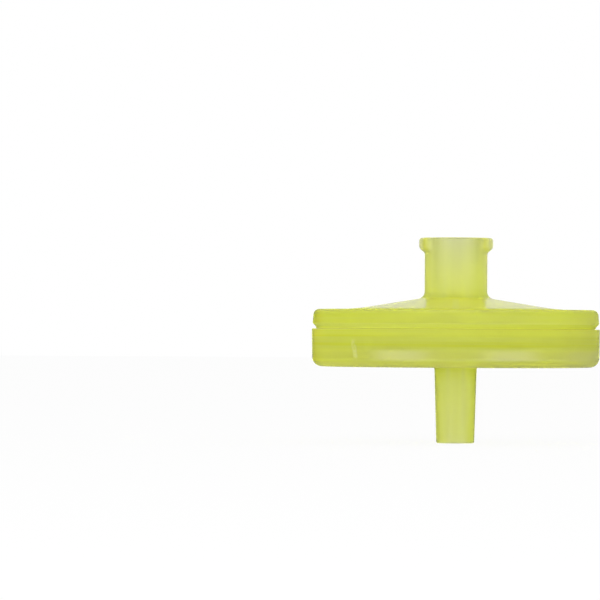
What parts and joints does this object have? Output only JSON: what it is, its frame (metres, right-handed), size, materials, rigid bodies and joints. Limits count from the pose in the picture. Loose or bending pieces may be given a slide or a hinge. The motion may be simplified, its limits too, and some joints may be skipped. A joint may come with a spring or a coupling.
{
  "type": "syringe filter",
  "caption": "Disc syringe filter with a domed inlet half, a lugged female luer socket, a cup-shaped outlet half, a male luer cone and a clamped membrane.",
  "frame": {"origin": "centre of the male luer's end face", "axes": "+Z along the common axis, from the outlet's male luer up to the inlet's female socket; the two lugs point along +X and -X"},
  "size_m": [0.0304, 0.0304, 0.0217],
  "materials": {
    "tinted_plastic": "moulded translucent yellow-green plastic, glossy",
    "membrane": "white microporous membrane, matt"
  },
  "bodies": {
    "root": {"inlet_housing": "tinted_plastic", "membrane": "membrane", "outlet_housing": "tinted_plastic"}
  },
  "joints": []
}
